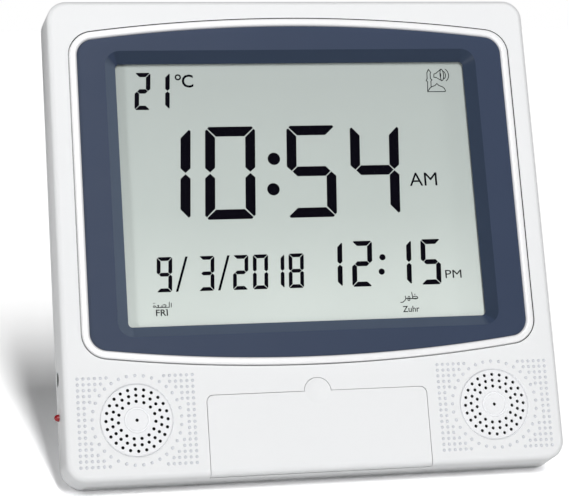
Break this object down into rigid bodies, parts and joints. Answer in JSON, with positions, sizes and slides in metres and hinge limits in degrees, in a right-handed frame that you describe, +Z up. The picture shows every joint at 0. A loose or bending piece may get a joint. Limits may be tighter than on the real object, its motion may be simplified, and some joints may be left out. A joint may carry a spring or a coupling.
{
  "type": "azan clock",
  "caption": "Table clock with a large framed liquid-crystal display, drilled speaker grilles, a drop-down door over its keys, a red side button, a power socket and a fold-out stand.",
  "frame": {"origin": "middle of the outline at the height of the table, under the standing clock", "axes": "+Z up, +X to the viewer's right, +Y away from the viewer; the face leans back 20.5 degrees from the XZ plane"},
  "size_m": [0.2298, 0.1028, 0.214],
  "materials": {
    "case_white": "fine satin moulding",
    "trim_white": "glossy",
    "bezel_navy": "satin",
    "clear_window": "clear",
    "lcd_grey_green": "satin",
    "diffuser_white": "matt",
    "holder_plastic": "matt",
    "strip_rubber": "matt",
    "board_green": "solder mask",
    "black_plastic": "matt",
    "plated_steel": "plated",
    "capacitor_sleeve": "satin",
    "speaker_steel": "painted",
    "cone_paper": "matt paper",
    "ferrite": "matt",
    "key_grey": "matt",
    "red_plastic": "glossy",
    "cell_jacket": "glossy"
  },
  "bodies": {
    "case": {"front_case": "case_white", "rear_cover": "case_white", "trim_ring": "trim_white", "bezel": "bezel_navy", "display_lens": "clear_window", "lcd_panel": "lcd_grey_green", "backlight_panel": "diffuser_white", "lcd_holder": "holder_plastic", "connector_strip": "strip_rubber", "main_board": "board_green", "clock_chip": "black_plastic", "sound_chip": "black_plastic", "quartz_crystal": "plated_steel", "capacitors": "capacitor_sleeve", "temperature_sensor": "black_plastic", "holder_screws": "plated_steel", "grille_left": "case_white", "grille_right": "case_white", "speaker_frame_left": "speaker_steel", "speaker_frame_right": "speaker_steel", "speaker_cone_left": "cone_paper", "speaker_cone_right": "cone_paper", "speaker_magnet_left": "ferrite", "speaker_magnet_right": "ferrite", "key_board": "board_green", "key_switches": "black_plastic", "red_switch": "black_plastic", "side_board": "board_green", "power_socket": "black_plastic", "socket_pin": "plated_steel", "battery_cells": "cell_jacket", "spring_contacts": "plated_steel", "plate_contacts": "plated_steel", "case_screws": "plated_steel", "board_screws": "plated_steel"},
    "key_door": {"key_door": "case_white"},
    "red_button": {"red_button": "red_plastic"},
    "stand": {"stand": "case_white"},
    "battery_door": {"battery_door": "case_white"},
    "key_1": {"key_1": "key_grey"},
    "key_2": {"key_2": "key_grey"},
    "key_3": {"key_3": "key_grey"},
    "key_4": {"key_4": "key_grey"},
    "key_5": {"key_5": "key_grey"},
    "key_6": {"key_6": "key_grey"},
    "key_7": {"key_7": "key_grey"},
    "key_8": {"key_8": "key_grey"}
  },
  "joints": [
    {"name": "key_door_hinge", "type": "hinge", "parent": "case", "child": "key_door", "pos_m": [0.0009, -0.04839, 0.01168], "axis": [1, 0, 0], "range_deg": [0, 110]},
    {"name": "key_1_press", "type": "slide", "parent": "case", "child": "key_1", "axis": [0, 0.9367, -0.3502], "range_m": [0, 0.0008], "stiffness_N_per_m": 800, "springref_m": -0.0003},
    {"name": "key_2_press", "type": "slide", "parent": "case", "child": "key_2", "axis": [0, 0.9367, -0.3502], "range_m": [0, 0.0008], "stiffness_N_per_m": 800, "springref_m": -0.0003},
    {"name": "key_3_press", "type": "slide", "parent": "case", "child": "key_3", "axis": [0, 0.9367, -0.3502], "range_m": [0, 0.0008], "stiffness_N_per_m": 800, "springref_m": -0.0003},
    {"name": "key_4_press", "type": "slide", "parent": "case", "child": "key_4", "axis": [0, 0.9367, -0.3502], "range_m": [0, 0.0008], "stiffness_N_per_m": 800, "springref_m": -0.0003},
    {"name": "key_5_press", "type": "slide", "parent": "case", "child": "key_5", "axis": [0, 0.9367, -0.3502], "range_m": [0, 0.0008], "stiffness_N_per_m": 800, "springref_m": -0.0003},
    {"name": "key_6_press", "type": "slide", "parent": "case", "child": "key_6", "axis": [0, 0.9367, -0.3502], "range_m": [0, 0.0008], "stiffness_N_per_m": 800, "springref_m": -0.0003},
    {"name": "key_7_press", "type": "slide", "parent": "case", "child": "key_7", "axis": [0, 0.9367, -0.3502], "range_m": [0, 0.0008], "stiffness_N_per_m": 800, "springref_m": -0.0003},
    {"name": "key_8_press", "type": "slide", "parent": "case", "child": "key_8", "axis": [0, 0.9367, -0.3502], "range_m": [0, 0.0008], "stiffness_N_per_m": 800, "springref_m": -0.0003},
    {"name": "red_button_press", "type": "slide", "parent": "case", "child": "red_button", "axis": [1, 0, 0], "range_m": [0, 0.0008], "stiffness_N_per_m": 800, "springref_m": -0.0003},
    {"name": "stand_hinge", "type": "hinge", "parent": "case", "child": "stand", "pos_m": [0.0009, 0.01595, 0.11466], "axis": [1, 0, 0], "range_deg": [-29.2, 0]},
    {"name": "battery_door_hinge", "type": "hinge", "parent": "case", "child": "battery_door", "pos_m": [0.0009, 0.02154, 0.12474], "axis": [-1, 0, 0], "range_deg": [0, 75]}
  ]
}
